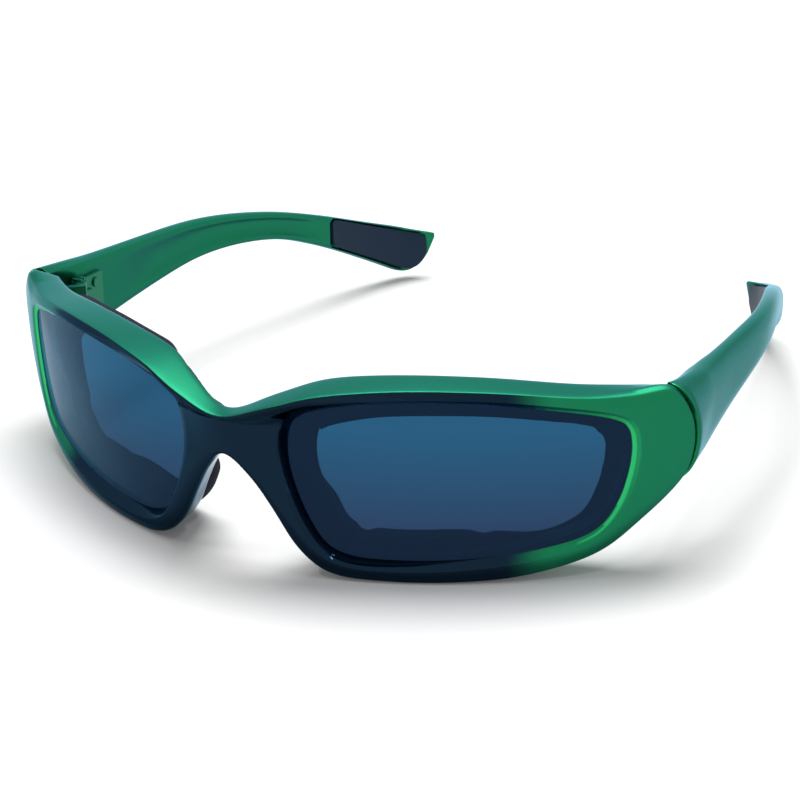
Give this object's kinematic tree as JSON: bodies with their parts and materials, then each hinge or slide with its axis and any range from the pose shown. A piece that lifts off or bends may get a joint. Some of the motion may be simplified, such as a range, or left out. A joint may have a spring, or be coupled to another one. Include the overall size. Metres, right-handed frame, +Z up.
{
  "type": "motorcycle sunglasses",
  "caption": "Wrap-around riding sunglasses with curved smoke lenses, foam eyecups behind the front, and wide swept temples that fold on screwed metal hinges.",
  "frame": {"origin": "centre of the bounding box at the plane the pair stands on", "axes": "+X towards the wearer's left, the front looks along -Y and the temples run back along +Y, +Z up"},
  "size_m": [0.1306, 0.1454, 0.0335],
  "materials": {
    "frame_plastic": "metallic green paint over black, gloss",
    "lens_smoke": "smooth blue-grey smoke tint",
    "film_black": "thin adhesive film",
    "foam": "closed-cell foam, matt",
    "hinge_metal": "painted over with the frame",
    "steel": "turned steel",
    "pad_rubber": "soft matt rubber"
  },
  "bodies": {
    "front": {"front_frame": "frame_plastic", "lens_left": "lens_smoke", "lens_right": "lens_smoke", "gasket_film_left": "film_black", "gasket_film_right": "film_black", "foam_gasket_left": "foam", "foam_gasket_right": "foam", "hinge_front_leaf_left": "hinge_metal", "hinge_front_leaf_right": "hinge_metal", "front_leaf_rivets": "steel", "hinge_screw_left": "steel", "hinge_screw_right": "steel"},
    "arm_left": {"temple_left": "frame_plastic", "hinge_temple_leaf_left": "hinge_metal", "temple_leaf_rivets_left": "steel", "temple_pad_left": "pad_rubber"},
    "arm_right": {"temple_right": "frame_plastic", "hinge_temple_leaf_right": "hinge_metal", "temple_leaf_rivets_right": "steel", "temple_pad_right": "pad_rubber"}
  },
  "joints": [
    {"name": "temple_left_fold", "type": "hinge", "parent": "front", "child": "arm_left", "pos_m": [0.05803, -0.02969, 0.0225], "axis": [0, 0, 1], "range_deg": [0, 80]},
    {"name": "temple_right_fold", "type": "hinge", "parent": "front", "child": "arm_right", "pos_m": [-0.05803, -0.02969, 0.0225], "axis": [0, 0, -1], "range_deg": [0, 72]}
  ]
}
